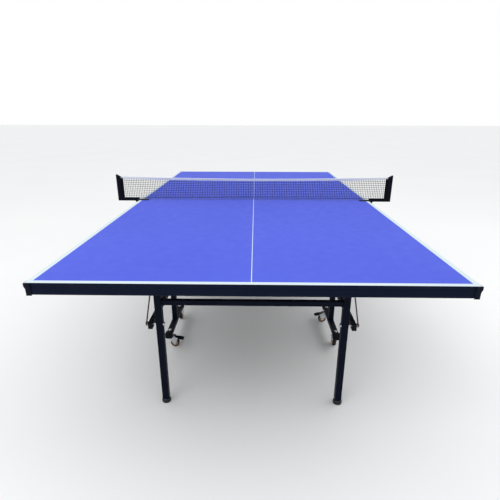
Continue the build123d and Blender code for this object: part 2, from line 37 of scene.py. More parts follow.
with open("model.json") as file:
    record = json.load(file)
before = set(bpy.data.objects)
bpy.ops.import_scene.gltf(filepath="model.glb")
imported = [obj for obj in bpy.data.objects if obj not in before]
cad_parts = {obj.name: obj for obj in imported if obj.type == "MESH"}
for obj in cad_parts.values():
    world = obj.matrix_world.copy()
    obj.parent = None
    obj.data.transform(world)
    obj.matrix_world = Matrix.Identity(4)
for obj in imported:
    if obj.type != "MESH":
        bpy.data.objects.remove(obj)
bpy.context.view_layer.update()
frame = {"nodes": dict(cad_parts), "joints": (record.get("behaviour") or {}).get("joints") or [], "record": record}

HALVES = (("a", 1), ("b", -1))

# --- painted board ---
EDGE_LINE_W = 0.020
CENTRE_LINE_W = 0.003
BOARD_CORNER_R = 0.002
BOARD_EDGE_R = 0.0008

# --- corner guards ---
GUARD_ARM = 0.0200
GUARD_GAP = 0.0003

# --- net ---
MESH_PITCH = 0.0115
THREAD_R = 0.00110
KNOT_R = 0.00190
MESH_SLACK = 0.0006
TAPE_H = 0.0160
TAPE_T = 0.0004
TAPE_CORD_R = 0.0024
STITCH_PITCH = 0.0045
STITCH_LENGTH = 0.0030
STITCH_DROP = 0.0128
BINDING_W = 0.014
BINDING_T = 0.0026
NET_DIP = 0.013
BOTTOM_CORD_R = 0.0016

# --- steel frame ---
TUBE = 0.030
CAP_W = 0.042
CROSS_DEPTH = 0.020
LEG_CROSS_H = 0.025
LEG_CROSS_Z = 0.515
TROLLEY_CROSS_H = 0.030
TROLLEY_CROSS_Z = 0.325
RAIL_TOP_Z = 0.105
WELD_R = 0.0016
WELD_RIPPLE = 0.003
BRACKET_T = 0.004
SCREW_R = 0.0045
SCREW_DOME = 0.0022
SCREW_DX = 0.010
SCREW_DY = 0.022

# --- casters ---
WHEEL_R = 0.025
TREAD_T = 0.006
AXLE_R = 0.003
PEDAL_BEVEL = 0.0011
RIB_R = 0.0009
RIB_PITCH = 0.0042
RACE_BORE_R = 0.0142
RACE_R = 0.0165
RACE_LIP_R = 0.0177
BRAKED = ("outer_left", "inner_right")
CASTERS = ("outer_left", "outer_right", "inner_left", "inner_right")

# --- studio: angles in degrees, and lamps as place, width in metres and watts ---
FLOOR_SIZE = 120
CAMERA_PLACE = (0.0119, -2.5107, 1.2854)
CAMERA_YAW = -0.83
CAMERA_PITCH = 19.48
CAMERA_ROLL = 0.11
CAMERA_LENS = 27.12
CAMERA_SENSOR = 36.0
LAMP_AIM = (0, 0, 0.7)
LAMPS = {
    "key_lamp": ((-2.2, -3.6, 4.4), 3.2, 62.0),
    "fill_lamp": ((3.2, -0.6, 4.4), 3.0, 30.0),
}


# --- mesh building ---

def ring_faces(bm, rings, looped=False, caps=False, material=0, smooth=True):
    """Quads between rings of points with equal counts, with flat caps on both ends if asked."""
    verts = [[bm.verts.new(point) for point in ring] for ring in rings]
    count = len(verts[0])
    pairs = list(zip(verts, verts[1:]))
    if looped:
        pairs.append((verts[-1], verts[0]))
    for first, second in pairs:
        for i in range(count):
            j = (i + 1) % count
            face = bm.faces.new((first[i], first[j], second[j], second[i]))
            face.material_index = material
            face.smooth = smooth
    if caps:
        for ring in (verts[0][::-1], verts[-1]):
            face = bm.faces.new(ring)
            face.material_index = material


def across(axis):
    """Two unit vectors square to an axis and to each other."""
    axis = Vector(axis).normalized()
    helper = Vector((0, 0, 1)) if abs(axis.z) < 0.9 else Vector((1, 0, 0))
    side = axis.cross(helper).normalized()
    return side, axis.cross(side)


def lathe(bm, centre, axis, profile, segments=32, material=0, lobes=0, lobe_depth=0.0):
    """Solid of revolution with closed ends. The profile is (radius, place along the axis)."""
    centre, axis = Vector(centre), Vector(axis).normalized()
    side, up = across(axis)
    rings = []
    for radius, place in profile:
        ring = []
        for k in range(segments):
            angle = 2 * math.pi * k / segments
            reach = max(radius, 1e-5) * (1 - lobe_depth * (1 - math.cos(lobes * angle)) / 2)
            out = side * math.cos(angle) + up * math.sin(angle)
            ring.append(centre + axis * place + out * reach)
        rings.append(ring)
    ring_faces(bm, rings, caps=True, material=material)


def sweep(bm, points, radius, sides=8, looped=False):
    """Round rod along a line of points. The radius is a number, or a function of the index."""
    size = radius if callable(radius) else (lambda k: radius)
    rings = []
    last = len(points) - 1
    for k, point in enumerate(points):
        before = points[k - 1] if (k or looped) else points[k]
        after = points[(k + 1) % len(points)] if (k < last or looped) else points[k]
        side, up = across(Vector(after) - Vector(before))
        turns = [2 * math.pi * s / sides for s in range(sides)]
        reach = size(k)
        outs = [side * math.cos(t) + up * math.sin(t) for t in turns]
        rings.append([Vector(point) + out * reach for out in outs])
    ring_faces(bm, rings, looped=looped, caps=not looped)


def slab(bm, low, high, material=0):
    """Box between two corners, as separate faces ready to be bevelled."""
    made = bmesh.ops.create_cube(bm, size=1)["verts"]
    size = Vector(high) - Vector(low)
    bmesh.ops.scale(bm, vec=size, verts=made)
    bmesh.ops.translate(bm, vec=(Vector(high) + Vector(low)) / 2, verts=made)
    for face in {face for vert in made for face in vert.link_faces}:
        face.material_index = material
    return made


def soften(bm, edges, width, segments=3):
    """Rounds the given edges."""
    bmesh.ops.bevel(
        bm, geom=list(edges), offset=width, segments=segments, profile=0.5, affect="EDGES",
        clamp_overlap=True, material=-1,
    )


def make_piece(name, bm, materials, body, replaces=()):
    """Turns a bmesh into an object that rides on a body, with its materials."""
    bmesh.ops.recalc_face_normals(bm, faces=bm.faces)
    mesh = bpy.data.meshes.new(name)
    bm.to_mesh(mesh)
    bm.free()
    for material in materials:
        mesh.materials.append(material)
    piece = bpy.data.objects.new(name, mesh)
    bpy.context.scene.collection.objects.link(piece)
    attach(piece, body)
    if replaces:
        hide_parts(*replaces)
    return piece


# --- materials ---

class Look:
    """A node material. Each method adds nodes and returns an output socket."""

    def __init__(self, name, colour, roughness, metallic=0.0, specular=0.5, sheen=0.0):
        self.material = bpy.data.materials.new(name)
        self.material.use_nodes = True
        self.tree = self.material.node_tree
        self.shader = self.tree.nodes["Principled BSDF"]
        self.material.diffuse_color = (*colour, 1)
        inputs = self.shader.inputs
        inputs["Base Color"].default_value = (*colour, 1)
        inputs["Roughness"].default_value = roughness
        inputs["Metallic"].default_value = metallic
        inputs["Specular IOR Level"].default_value = specular
        inputs["Sheen Weight"].default_value = sheen
        self.place = self.node("ShaderNodeTexCoord").outputs["Object"]

    def node(self, kind, inputs=(), **settings):
        made = self.tree.nodes.new(kind)
        for key, value in settings.items():
            setattr(made, key, value)
        for key, value in dict(inputs).items():
            if isinstance(value, bpy.types.NodeSocket):
                self.tree.links.new(value, made.inputs[key])
            else:
                made.inputs[key].default_value = value
        return made

    def noise(self, scale, detail=3.0, place=None):
        inputs = {"Vector": place or self.place, "Scale": scale, "Detail": detail}
        return self.node("ShaderNodeTexNoise", inputs).outputs[0]

    def stretched(self, x, y, z):
        """Object coordinates scaled along each axis."""
        inputs = {"Vector": self.place, "Scale": (x, y, z)}
        return self.node("ShaderNodeMapping", inputs).outputs[0]

    def bands(self, scale, direction):
        inputs = {"Vector": self.place, "Scale": scale}
        kind = "ShaderNodeTexWave"
        return self.node(kind, inputs, bands_direction=direction).outputs["Fac"]

    def cells(self, scale):
        inputs = {"Vector": self.place, "Scale": scale}
        return self.node("ShaderNodeTexVoronoi", inputs).outputs["Color"]

    def remap(self, value, low, high, from_low=0.3, from_high=0.7):
        inputs = {0: value, 1: from_low, 2: from_high, 3: low, 4: high}
        return self.node("ShaderNodeMapRange", inputs).outputs[0]

    def maths(self, operation, first, second):
        return self.node("ShaderNodeMath", {0: first, 1: second}, operation=operation).outputs[0]

    def blend(self, factor, first, second):
        inputs = {"Fac": factor, "Color1": (*first, 1), "Color2": (*second, 1)}
        return self.node("ShaderNodeMixRGB", inputs).outputs[0]

    def colour(self, socket):
        self.tree.links.new(socket, self.shader.inputs["Base Color"])

    def roughness(self, socket):
        self.tree.links.new(socket, self.shader.inputs["Roughness"])

    def bump(self, height, distance):
        inputs = {"Height": height, "Distance": distance, "Strength": 1.0}
        bumped = self.node("ShaderNodeBump", inputs).outputs[0]
        self.tree.links.new(bumped, self.shader.inputs["Normal"])


def playing_paint(name, colour, lighter):
    """Rolled matte paint: a faint cloudiness, a fine orange peel and dull, uneven gloss."""
    look = Look(name, colour, 0.62, specular=0.10)
    clouds = look.noise(1.6, 2.0)
    look.colour(look.blend(look.remap(clouds, 0.0, 1.0), colour, lighter))
    look.roughness(look.remap(look.noise(26.0), 0.55, 0.70))
    look.bump(look.noise(900.0, 2.0), 0.00003)
    return look.material


def powder_coat(name, colour, lighter, roughness=0.42, specular=0.32):
    """Satin powder coat with orange peel, and a faint paler dusting."""
    look = Look(name, colour, roughness, specular=specular)
    dust = look.remap(look.noise(9.0, 5.0), 0.0, 1.0, 0.42, 0.75)
    look.colour(look.blend(dust, colour, lighter))
    look.roughness(look.remap(look.noise(60.0), roughness - 0.07, roughness + 0.10))
    look.bump(look.noise(520.0, 2.0), 0.00006)
    return look.material


def moulded_plastic(name, colour, lighter, roughness=0.5, specular=0.35):
    """Moulded plastic with a fine leathery grain and scuffed, uneven gloss."""
    look = Look(name, colour, roughness, specular=specular)
    look.colour(look.blend(look.remap(look.noise(45.0, 4.0), 0.0, 1.0), colour, lighter))
    look.roughness(look.remap(look.noise(160.0), roughness - 0.08, roughness + 0.12))
    look.bump(look.noise(1400.0, 3.0), 0.00004)
    return look.material


def zinc(name, colour, darker, roughness=0.30):
    """Zinc plate: crystal patches, fine drawing marks and a cloudy shine."""
    look = Look(name, colour, roughness, metallic=1.0)
    patches = look.cells(170.0)
    look.colour(look.blend(look.remap(patches, 0.0, 1.0, 0.0, 1.0), colour, darker))
    drawn = look.noise(40.0, 2.0, look.stretched(1.0, 1.0, 12.0))
    look.roughness(look.remap(drawn, roughness - 0.08, roughness + 0.16))
    look.bump(look.noise(900.0, 2.0), 0.00002)
    return look.material


def rubber(name, colour, lighter):
    """Dull tyre rubber with dust in its grain."""
    look = Look(name, colour, 0.75, specular=0.25)
    dust = look.remap(look.noise(110.0, 5.0), 0.0, 1.0, 0.45, 0.75)
    look.colour(look.blend(dust, colour, lighter))
    look.roughness(look.remap(look.noise(220.0), 0.62, 0.88))
    look.bump(look.noise(1100.0, 3.0), 0.00006)
    return look.material


def fibreboard(name, colour, darker):
    """Sealed underside of the board: short fibres under a thin dark coat."""
    look = Look(name, colour, 0.78, specular=0.15)
    fibres = look.noise(240.0, 5.0, look.stretched(1.0, 0.25, 1.0))
    look.colour(look.blend(look.remap(fibres, 0.0, 1.0), colour, darker))
    look.bump(fibres, 0.00010)
    return look.material


def twine(name, colour, lighter):
    """Dull twisted cord with fine, paler flecks."""
    look = Look(name, colour, 0.80, specular=0.06)
    strands = look.noise(1500.0, 2.0)
    look.colour(look.blend(look.remap(strands, 0.0, 1.0), colour, lighter))
    look.bump(strands, 0.00008)
    return look.material


def woven_tape(name, colour, darker):
    """Plain-weave cotton tape: warp along X, weft up and down."""
    look = Look(name, colour, 0.82, specular=0.20, sheen=0.30)
    warp, weft = look.bands(420.0, "Z"), look.bands(420.0, "X")
    weave = look.maths("MULTIPLY", warp, weft)
    look.colour(look.blend(look.remap(weave, 1.0, 0.0, 0.0, 0.5), colour, darker))
    look.bump(weave, 0.00010)
    return look.material


def pale_floor(name):
    """Seamless studio floor, almost white, with a barely visible unevenness."""
    look = Look(name, (0.86, 0.87, 0.88), 0.70, specular=0.15)
    clouds = look.remap(look.noise(0.8, 2.0), 0.0, 1.0)
    look.colour(look.blend(clouds, (0.855, 0.865, 0.875), (0.875, 0.880, 0.885)))
    return look.material


BLUE = playing_paint("blue_paint", (0.074, 0.110, 0.640), (0.081, 0.118, 0.665))
WHITE = playing_paint("line_paint", (0.590, 0.690, 0.735), (0.620, 0.715, 0.755))
EDGE = powder_coat("edge_band", (0.0020, 0.0050, 0.0180), (0.0034, 0.0066, 0.0205), 0.46, 0.07)
UNDERSIDE = fibreboard("board_underside", (0.030, 0.032, 0.036), (0.018, 0.019, 0.022))
APRON = powder_coat(
    "apron_powder_coat", (0.0016, 0.0044, 0.0165), (0.0030, 0.0060, 0.0190), 0.44, 0.07,
)
FRAME = powder_coat(
    "frame_powder_coat", (0.0010, 0.0030, 0.0100), (0.0020, 0.0042, 0.0125), 0.44, 0.06,
)
NET_STEEL = powder_coat(
    "net_powder_coat", (0.0012, 0.0026, 0.0080), (0.0022, 0.0038, 0.0100), 0.40, 0.06,
)
GUARD = moulded_plastic(
    "guard_plastic", (0.0026, 0.0052, 0.0130), (0.0044, 0.0072, 0.0160), 0.46, 0.08,
)
BLACK = moulded_plastic(
    "black_plastic", (0.0020, 0.0030, 0.0065), (0.0036, 0.0048, 0.0085), 0.48, 0.09,
)
FOOT = moulded_plastic(
    "foot_plastic", (0.0016, 0.0028, 0.0065), (0.0030, 0.0044, 0.0085), 0.24, 0.34,
)
ZINC = zinc("zinc_plate", (0.66, 0.67, 0.70), (0.50, 0.51, 0.55))
CASTER_ZINC = zinc("caster_zinc", (0.70, 0.71, 0.73), (0.54, 0.55, 0.58), 0.26)
RED_ROD = powder_coat("red_brown_coat", (0.055, 0.010, 0.013), (0.080, 0.018, 0.020), 0.40, 0.40)
TYRE = rubber("tyre_rubber", (0.012, 0.012, 0.014), (0.030, 0.029, 0.028))
HUB = moulded_plastic("tan_hub", (0.230, 0.125, 0.050), (0.300, 0.170, 0.075), 0.42, 0.40)
BRONZE = zinc("bronze_bush", (0.42, 0.24, 0.10), (0.30, 0.16, 0.07), 0.34)
TWINE = twine("net_twine", (0.0020, 0.0024, 0.0050), (0.0060, 0.0064, 0.0100))
CORD = twine("net_cord", (0.0030, 0.0034, 0.0070), (0.0070, 0.0074, 0.0120))
TAPE = woven_tape("white_tape", (0.800, 0.840, 0.860), (0.600, 0.640, 0.680))
STITCH = twine("white_stitching", (0.84, 0.86, 0.88), (0.90, 0.91, 0.92))

SLOT_LOOKS = {
    "table_top": BLUE, "apron_paint": APRON, "guard_plastic": GUARD, "frame_paint": FRAME,
    "zinc_steel": ZINC, "rod_steel": RED_ROD, "black_plastic": BLACK, "lock_pin": ZINC,
    "foot_plastic": FOOT, "caster_steel": CASTER_ZINC, "caster_wheel": TYRE,
    "pedal_plastic": BLACK, "net_steel": NET_STEEL, "screw_knob": BLACK, "net_fabric": TWINE,
}

# Rounding added to CAD nodes whose edges are sharp: node name without its half, and the width.
SOFTENED = {"net_brackets": 0.0014, "link_caps": 0.0010}


def finish_cad_nodes():
    """Gives every CAD node the look of its record slot, and rounds the sharp ones."""
    for part in frame["record"]["subparts"]:
        node = frame["nodes"][part["node"]]
        node.data.materials.clear()
        node.data.materials.append(SLOT_LOOKS[part["material_slot"]])
        plain_name = part["node"].removesuffix("_a").removesuffix("_b")
        if plain_name in SOFTENED:
            weld = node.modifiers.new("weld", "WELD")
            weld.merge_threshold = 0.00001
            bevel = node.modifiers.new("rounded_edges", "BEVEL")
            bevel.width = SOFTENED[plain_name]
            bevel.segments = 3
            bevel.limit_method = "ANGLE"
            bevel.angle_limit = math.radians(40)


# --- table tops ---

def grid_slab(bm, xs, ys, z0, z1, paint):
    """Board cut along the paint's borders. paint(x, y) gives the material of a cell of the top."""
    top = [[bm.verts.new((x, y, z1)) for y in ys] for x in xs]
    bottom = [[bm.verts.new((x, y, z0)) for y in ys] for x in xs]
    last_x, last_y = len(xs) - 1, len(ys) - 1
    for i in range(last_x):
        for j in range(last_y):
            middle = ((xs[i] + xs[i + 1]) / 2, (ys[j] + ys[j + 1]) / 2)
            cell = (top[i][j], top[i + 1][j], top[i + 1][j + 1], top[i][j + 1])
            bm.faces.new(cell).material_index = paint(*middle)
            under = (bottom[i][j], bottom[i][j + 1], bottom[i + 1][j + 1], bottom[i + 1][j])
            bm.faces.new(under).material_index = 3
    rim = [(i, 0) for i in range(last_x)] + [(last_x, j) for j in range(last_y)]
    rim += [(i, last_y) for i in range(last_x, 0, -1)] + [(0, j) for j in range(last_y, 0, -1)]
    for (i, j), (m, n) in zip(rim, rim[1:] + rim[:1]):
        side = bm.faces.new((bottom[i][j], bottom[m][n], top[m][n], top[i][j]))
        side.material_index = 2


def table_top(half, turn):
    """Painted board: blue, with white side, end and centre lines, and none along the join."""
    low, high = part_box("board_" + half)
    outer_y = low.y if turn > 0 else high.y
    line_y = outer_y + EDGE_LINE_W * turn
    line_x, centre_x = high.x - EDGE_LINE_W, CENTRE_LINE_W / 2

    def paint(x, y):
        on_side, on_centre = abs(x) > line_x, abs(x) < centre_x
        return 1 if on_side or on_centre or abs(y) > abs(line_y) else 0

    bm = bmesh.new()
    xs = [low.x, -line_x, -centre_x, centre_x, line_x, high.x]
    ys = sorted((low.y, high.y, line_y))
    grid_slab(bm, xs, ys, low.z, high.z, paint)
    corners = [e for e in bm.edges if abs(e.verts[0].co.z - e.verts[1].co.z) > 0.001
               and all(abs(v.co.x) > line_x + 0.001 and abs(v.co.y - outer_y) < 1e-6 for v in e.verts)]
    soften(bm, corners, BOARD_CORNER_R, 4)
    rims = [e for e in bm.edges if len(e.link_faces) == 2
            and e.calc_face_angle(0) > math.radians(60)]
    soften(bm, rims, BOARD_EDGE_R, 2)
    make_piece(
        "table_top_" + half, bm, [BLUE, WHITE, EDGE, UNDERSIDE], "top_" + half,
        ["board_" + half],
    )


# --- net ---

def net_shape():
    """Half width, lowest Z, and the top edge's Z as a function of X. The edge sags in the middle."""
    low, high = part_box("net")
    mid_top = high.z - NET_DIP

    def top(x):
        return mid_top + (high.z - mid_top) * (x / high.x) ** 2

    return high.x, low.z, top


def net_mesh():
    """Square mesh of knotted twine, a little uneven, between the tape and the bottom cord."""
    half, bottom, top = net_shape()
    dice = random.Random(11)
    columns = round(2 * half / MESH_PITCH)
    rows = round((top(0) - TAPE_H - bottom) / MESH_PITCH)
    knots = []
    for i in range(columns + 1):
        x = -half + 2 * half * i / columns
        reach = top(x) - TAPE_H * 0.8 - bottom
        column = []
        for j in range(rows + 1):
            held = i in (0, columns) or j in (0, rows)
            shake = 0.0 if held else MESH_SLACK
            shift = Vector((dice.uniform(-shake, shake), 0, dice.uniform(-shake, shake)))
            column.append(Vector((x, 0, bottom + reach * j / rows)) + shift)
        knots.append(column)
    bm = bmesh.new()
    for column in knots:
        sweep(bm, column, THREAD_R, sides=4)
    for j in range(1, rows):
        sweep(bm, [column[j] for column in knots], THREAD_R, sides=4)
    for column in knots[1:-1]:
        for knot in column[1:-1]:
            profile = [(0, -1), (0.8, -0.5), (0.8, 0.5), (0, 1)]
            lathe(bm, knot, (0, 1, 0.4), [(r * KNOT_R, z * KNOT_R) for r, z in profile], 5)
    return make_piece("net_mesh", bm, [TWINE], "top_a", ["net"])


def net_tape():
    """White tape folded over a cord along the top edge, closed by a row of stitches on each face."""
    half, _, top = net_shape()
    outer = [(TAPE_T * 1.4, -TAPE_H), (TAPE_T * 1.6, -TAPE_H * 0.55)]
    outer += [(TAPE_CORD_R * math.cos(a), -TAPE_CORD_R + TAPE_CORD_R * math.sin(a))
              for a in (math.radians(d) for d in range(-50, 91, 20))]
    inner = [(max(y - TAPE_T, TAPE_T * 0.3), min(z, -TAPE_T)) for y, z in outer]
    section = outer + [(-y, z) for y, z in outer[::-1]] + [(-y, z) for y, z in inner] + inner[::-1]
    steps = 120
    rings = []
    for i in range(steps + 1):
        x = -half + 2 * half * i / steps
        rings.append([Vector((x, y, top(x) + z)) for y, z in section])
    bm = bmesh.new()
    ring_faces(bm, rings, caps=True)
    tape = make_piece("net_tape", bm, [TAPE], "top_a")
    bm = bmesh.new()
    count = int(2 * half / STITCH_PITCH)
    for k in range(count):
        x = -half + (k + 0.5) * STITCH_PITCH
        for face in (-1, 1):
            y = face * TAPE_T * 1.7
            ends = [Vector((x + s * STITCH_LENGTH / 2, y, top(x) - STITCH_DROP)) for s in (-1, 0, 1)]
            sweep(bm, ends, lambda n: 0.00032 if n == 1 else 0.00018, sides=5)
    stitches = make_piece("net_stitches", bm, [STITCH], "top_a")
    return tape, stitches


def net_edges():
    """Cord through the bottom row of the mesh, and the bindings at both ends."""
    half, bottom, top = net_shape()
    bm = bmesh.new()
    steps = 160
    low = bottom + BOTTOM_CORD_R
    line = [Vector((-half + 2 * half * i / steps, 0, low)) for i in range(steps + 1)]
    sweep(bm, line, BOTTOM_CORD_R, sides=8)
    for side in (-1, 1):
        x0, x1 = sorted((side * half, side * (half - BINDING_W)))
        high = top(half) - TAPE_H * 0.7
        made = slab(bm, (x0, -BINDING_T / 2, bottom), (x1, BINDING_T / 2, high))
        edges = {e for v in made for e in v.link_edges}
        soften(bm, edges, 0.0006, 2)
    return make_piece("net_binding", bm, [CORD], "top_a")


def build_net():
    """The net's pieces. The mesh is mostly holes between its threads."""
    half, bottom, top = net_shape()
    mesh, (tape, stitches), edges = net_mesh(), net_tape(), net_edges()
    width, height = 2 * half, top(half) - bottom


# --- corner guards ---

def guard_line(out_x, out_y, corner, arm, steps=10):
    """Outline of a guard at one height: along the end, round the corner and along the side."""
    points = [Vector((out_x - arm, -out_y, 0))]
    for k in range(steps + 1):
        angle = math.pi / 2 * (k / steps - 1)
        x = out_x - corner + corner * math.cos(angle)
        points.append(Vector((x, -out_y + corner + corner * math.sin(angle), 0)))
    points.append(Vector((out_x, -out_y + arm, 0)))
    return points


def corner_guards(half, turn):
    """Moulded guards: a rounded bead round the board that slopes in to a skirt over the apron."""
    board_low, board_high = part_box("board_" + half)
    guard_low, guard_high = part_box("corner_guards_" + half)
    apron_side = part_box("apron_" + half)[1].x
    end = abs(board_low.y if turn > 0 else board_high.y)
    bead = guard_high.x - board_high.x
    inset, top = board_high.x - apron_side, guard_high.z
    # Drop below the top, how far the face lies inside the bead at the side and the end, and the
    # corner's radius.
    outside = [
        (0.0000, 0.0022, 0.0022, 0.0030),
        (0.0008, 0.0007, 0.0007, 0.0038),
        (0.0024, 0.0000, 0.0000, 0.0045),
        (0.0110, 0.0000, 0.0000, 0.0045),
        (0.0140, 0.0005, 0.0006, 0.0044),
        (0.0175, 0.0018, 0.0014, 0.0040),
        (0.0205, 0.0030, 0.0018, 0.0036),
        (0.0240, 0.0036, 0.0020, 0.0034),
        (0.0430, 0.0040, 0.0020, 0.0034),
        (0.0438, 0.0034, 0.0014, 0.0036),
        (0.0455, 0.0034, 0.0014, 0.0036),
        (0.0460, 0.0040, 0.0020, 0.0032),
    ]
    profile = [(top - drop, bead - dx, bead - dy, corner) for drop, dx, dy, corner in outside]
    # The inside climbs along the apron, steps out below the board and climbs along its edge.
    profile += [
        (guard_low.z, GUARD_GAP - inset, GUARD_GAP, 0.0012),
        (board_low.z - 0.0002, GUARD_GAP - inset, GUARD_GAP, 0.0012),
        (board_low.z + 0.0002, GUARD_GAP, GUARD_GAP, 0.0022),
        (top, GUARD_GAP, GUARD_GAP, 0.0022),
    ]
    bm = bmesh.new()
    for side in (-1, 1):
        lines = []
        for z, dx, dy, corner in profile:
            line = guard_line(board_high.x + dx, end + dy, corner, GUARD_ARM + dx)
            line[-1].y = -end + GUARD_ARM
            lines.append([Vector((side * p.x, p.y * turn, z)) for p in line])
        rings = [[line[k] for line in lines] for k in range(len(lines[0]))]
        ring_faces(bm, rings, caps=True)
    replaced = ["corner_guards_" + half]
    make_piece("guards_" + half, bm, [GUARD], "top_" + half, replaced)


# --- clamp screws and lock pins ---

def clamp_screw(side):
    """Star knob, threaded screw and swivelling pad."""
    node = "clamp_screw_" + side
    low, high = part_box(node)
    centre = ((low.x + high.x) / 2, (low.y + high.y) / 2, 0)
    knob_r = (high.x - low.x) / 2
    bm = bmesh.new()
    pad_r, pad_t = 0.010, 0.004
    pad_low = high.z - pad_t
    pad = [
        (0, high.z), (pad_r - 0.001, high.z), (pad_r, high.z - 0.001), (pad_r, pad_low + 0.001),
        (pad_r - 0.001, pad_low), (0.0055, pad_low - 0.002), (0, pad_low - 0.002),
    ]
    lathe(bm, centre, (0, 0, 1), pad[::-1], 40, material=0)
    knob_h, thread_r, pitch = 0.016, 0.004, 0.00125
    thread_low, thread_high = low.z + knob_h, high.z - pad_t - 0.001
    turns = int((thread_high - thread_low) / pitch)
    thread = [(0, thread_low)]
    for k in range(turns):
        z = thread_low + k * pitch
        thread += [(thread_r - 0.0004, z), (thread_r, z + pitch / 2)]
    thread += [(thread_r - 0.0004, thread_low + turns * pitch), (0, thread_high)]
    lathe(bm, centre, (0, 0, 1), thread, 24, material=0)
    edge = 0.003
    arc = [(math.cos(math.radians(d)), math.sin(math.radians(d))) for d in (0, 30, 60, 90)]
    knob = [(0, low.z)] + [(knob_r - edge + edge * s, low.z + edge - edge * c) for c, s in arc]
    knob += [(knob_r - edge + edge * c, low.z + knob_h - edge + edge * s) for c, s in arc]
    knob += [(0.0065, low.z + knob_h), (0.0065, low.z + knob_h + 0.003), (0, low.z + knob_h + 0.003)]
    lathe(bm, centre, (0, 0, 1), knob, 96, material=1, lobes=8, lobe_depth=0.14)
    make_piece("clamp_knob_" + side, bm, [ZINC, BLACK], "clamp_" + side, [node])


def lock_pin(side, half):
    """Pull pin of the tilt lock: a steel pin with a waisted knob."""
    node = "lock_pin_%s_%s" % (side, half)
    low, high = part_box(node)
    out = 1 if low.x > 0 else -1
    tip, end = (low.x, high.x) if out > 0 else (high.x, low.x)
    centre = (0, (low.y + high.y) / 2, (low.z + high.z) / 2)
    knob_r, knob_t, pin_r = (high.z - low.z) / 2, 0.014, 0.005
    bm = bmesh.new()
    length = abs(end - tip)

    def along(profile):
        return [(r, tip + out * s) for r, s in profile]

    pin = [(0, 0), (pin_r - 0.001, 0), (pin_r, 0.001), (pin_r, length - knob_t + 0.002),
           (0, length - knob_t + 0.002)]
    lathe(bm, centre, (1, 0, 0), along(pin), 32, material=0)
    start = length - knob_t
    knob = [
        (0, start), (knob_r * 0.72, start), (knob_r * 0.80, start + 0.0015),
        (knob_r * 0.78, start + 0.004), (knob_r * 0.93, start + 0.007), (knob_r, start + 0.0095),
        (knob_r * 0.97, start + 0.012), (knob_r * 0.80, start + 0.0136), (0, length),
    ]
    lathe(bm, centre, (1, 0, 0), along(knob), 48, material=1, lobes=12, lobe_depth=0.05)
    make_piece("lock_knob_%s_%s" % (side, half), bm, [ZINC, BLACK], "lock_%s_%s" % (side, half),
               [node])


# --- casters ---

def caster_facts(name):
    """Wheel centre, wheel axis, and the direction that the caster trails in, from the CAD boxes."""
    low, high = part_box("caster_wheel_" + name)
    centre = (low + high) / 2
    axis = Vector((1, 0, 0)) if high.x - low.x < high.y - low.y else Vector((0, 1, 0))
    stem_verts = frame["nodes"]["caster_fork_" + name].data.vertices
    top = max(v.co.z for v in stem_verts)
    rim = [v.co for v in stem_verts if v.co.z > top - 0.0001]
    stem = sum(rim, Vector()) / len(rim)
    trail = Vector((centre.x - stem.x, centre.y - stem.y, 0)).normalized()
    return centre, axis, trail, stem


def caster_wheel(name):
    """Grooved tyre on a hub dished on both faces, and the bush in its bore."""
    centre, axis, _, _ = caster_facts(name)
    low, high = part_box("caster_wheel_" + name)
    half_w = min(high.x - low.x, high.y - low.y) / 2
    tyre_r = WHEEL_R - TREAD_T
    bm = bmesh.new()
    corner = 0.004
    arc = [math.radians(d) for d in (0, 22.5, 45, 67.5, 90)]
    side = [(tyre_r, -half_w + 0.0010), (tyre_r + 0.001, -half_w)]
    for angle in arc:
        reach = WHEEL_R - corner + corner * math.sin(angle)
        side.append((reach, -half_w + corner - corner * math.cos(angle)))
    groove_r = WHEEL_R - 0.0008
    groove = [(WHEEL_R, -0.0034), (groove_r, -0.0030), (groove_r, -0.0020), (WHEEL_R, -0.0016)]
    profile = side + groove
    profile += [(r, -z) for r, z in profile[::-1]]
    rings_of(bm, centre, axis, profile, 64, 0)
    rim, web, boss = tyre_r, tyre_r - 0.003, AXLE_R + 0.004
    face, dish = half_w - 0.001, half_w - 0.0045
    half_hub = [
        (AXLE_R + 0.0016, face), (boss - 0.0004, face), (boss, face - 0.0005),
        (boss + 0.0004, dish), (web - 0.0006, dish), (web, face - 0.0004), (web + 0.0005, face),
        (rim, face),
    ]
    hub = half_hub + [(r, -z) for r, z in half_hub[::-1]]
    rings_of(bm, centre, axis, hub, 64, 1)
    bush_in, bush_out, bush_end = AXLE_R + 0.00005, AXLE_R + 0.0017, half_w - 0.0004
    bush = [(bush_in, -bush_end), (bush_out, -bush_end), (bush_out, bush_end), (bush_in, bush_end)]
    rings_of(bm, centre, axis, bush, 32, 2)
    make_piece("wheel_" + name, bm, [TYRE, HUB, BRONZE], "wheel_" + name,
               ["caster_wheel_" + name])


def rings_of(bm, centre, axis, profile, segments, material):
    """Ring turned from a closed profile, with no end caps."""
    centre, axis = Vector(centre), Vector(axis)
    side, up = across(axis)
    rings = []
    for k in range(segments):
        angle = 2 * math.pi * k / segments
        out = side * math.cos(angle) + up * math.sin(angle)
        rings.append([centre + out * r + axis * z for r, z in profile])
    ring_faces(bm, rings, looped=True, material=material)


def swivel_race(name):
    """Ball race between the caster's head and its fork."""
    stem = caster_facts(name)[3]
    bm = bmesh.new()
    place = (stem.x, stem.y, 0.0)
    profile = [
        (RACE_BORE_R, 0.0701), (RACE_R, 0.0701), (RACE_LIP_R, 0.0710), (RACE_LIP_R, 0.0722),
        (RACE_R, 0.0731), (0.0150, 0.0734), (RACE_BORE_R, 0.0738),
    ]
    rings_of(bm, place, (0, 0, 1), profile, 48, 0)
    make_piece("swivel_race_" + name, bm, [CASTER_ZINC], "fork_" + name)


